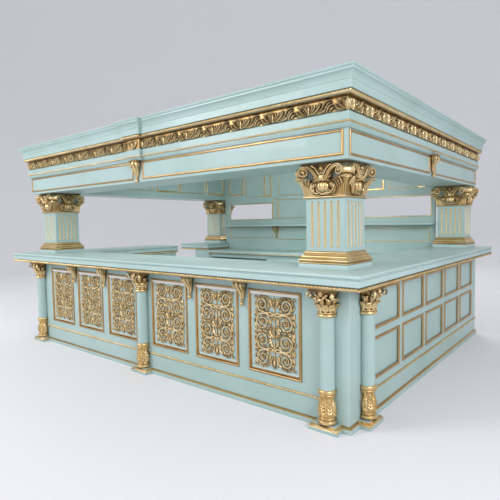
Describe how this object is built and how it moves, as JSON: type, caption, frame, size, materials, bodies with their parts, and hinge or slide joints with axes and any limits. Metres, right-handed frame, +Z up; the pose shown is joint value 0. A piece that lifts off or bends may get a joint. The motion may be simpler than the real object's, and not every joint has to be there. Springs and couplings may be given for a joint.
{
  "type": "bar counter",
  "caption": "Island bar counter with a panelled front, turned columns, fluted piers, a canopy with a moulded cornice, and a back bar with windows, a shelf and a hinged cupboard.",
  "frame": {"origin": "on the floor under the middle of the worktop rectangle", "axes": "+X towards the long panelled side, -Y towards the carved front, +Z up"},
  "size_m": [5.132, 3.996, 2.5675],
  "materials": {
    "duck_egg_paint": "satin duck-egg blue paint",
    "pale_paint": "satin pale blue paint",
    "antique_gilding": "antique gilding over carved wood"
  },
  "bodies": {
    "counter": {"architrave_back": "duck_egg_paint", "architrave_front": "duck_egg_paint", "architrave_left": "duck_egg_paint", "architrave_right": "duck_egg_paint", "back_bar_base": "duck_egg_paint", "back_bar_shelf": "antique_gilding", "back_bar_top": "antique_gilding", "back_wall": "duck_egg_paint", "canopy_bracket_front": "antique_gilding", "canopy_bracket_left": "antique_gilding", "canopy_bracket_right": "antique_gilding", "carved_panel_1": "antique_gilding", "carved_panel_2": "antique_gilding", "carved_panel_3": "antique_gilding", "carved_panel_4": "antique_gilding", "carved_panel_5": "antique_gilding", "carved_panel_6": "antique_gilding", "ceiling_panel": "duck_egg_paint", "column_capital_front_left": "antique_gilding", "column_capital_front_middle": "antique_gilding", "column_capital_front_right": "antique_gilding", "column_capital_side": "antique_gilding", "column_front_left": "pale_paint", "column_front_middle": "pale_paint", "column_front_right": "pale_paint", "column_side": "pale_paint", "cornice_back": "pale_paint", "cornice_front": "pale_paint", "cornice_left": "pale_paint", "cornice_right": "pale_paint", "front_carcass": "duck_egg_paint", "left_carcass": "duck_egg_paint", "pier_base_back_left": "antique_gilding", "pier_base_back_right": "antique_gilding", "pier_base_front_left": "antique_gilding", "pier_base_front_right": "antique_gilding", "pier_capital_back_left": "antique_gilding", "pier_capital_back_right": "antique_gilding", "pier_capital_front_left": "antique_gilding", "pier_capital_front_right": "antique_gilding", "pier_shaft_back_left": "duck_egg_paint", "pier_shaft_back_right": "duck_egg_paint", "pier_shaft_front_left": "duck_egg_paint", "pier_shaft_front_right": "duck_egg_paint", "right_carcass": "duck_egg_paint", "shelf_bracket_left": "antique_gilding", "shelf_bracket_right": "antique_gilding", "stub_carcass": "duck_egg_paint", "worktop_bracket_1": "antique_gilding", "worktop_bracket_2": "antique_gilding", "worktop_bracket_3": "antique_gilding", "worktop_bracket_4": "antique_gilding", "worktop_front": "pale_paint", "worktop_left": "pale_paint", "worktop_right": "pale_paint", "worktop_stub": "pale_paint"},
    "left_door": {"back_bar_door_left": "duck_egg_paint", "door_knob_left": "antique_gilding"},
    "right_door": {"back_bar_door_right": "duck_egg_paint", "door_knob_right": "antique_gilding"}
  },
  "joints": [
    {"name": "left_door_hinge", "type": "hinge", "parent": "counter", "child": "left_door", "pos_m": [-0.528, 1.1156, 0.5], "axis": [0, 0, -1], "range_deg": [0, 90]},
    {"name": "right_door_hinge", "type": "hinge", "parent": "counter", "child": "right_door", "pos_m": [0.592, 1.1156, 0.5], "axis": [0, 0, 1], "range_deg": [0, 90]}
  ]
}
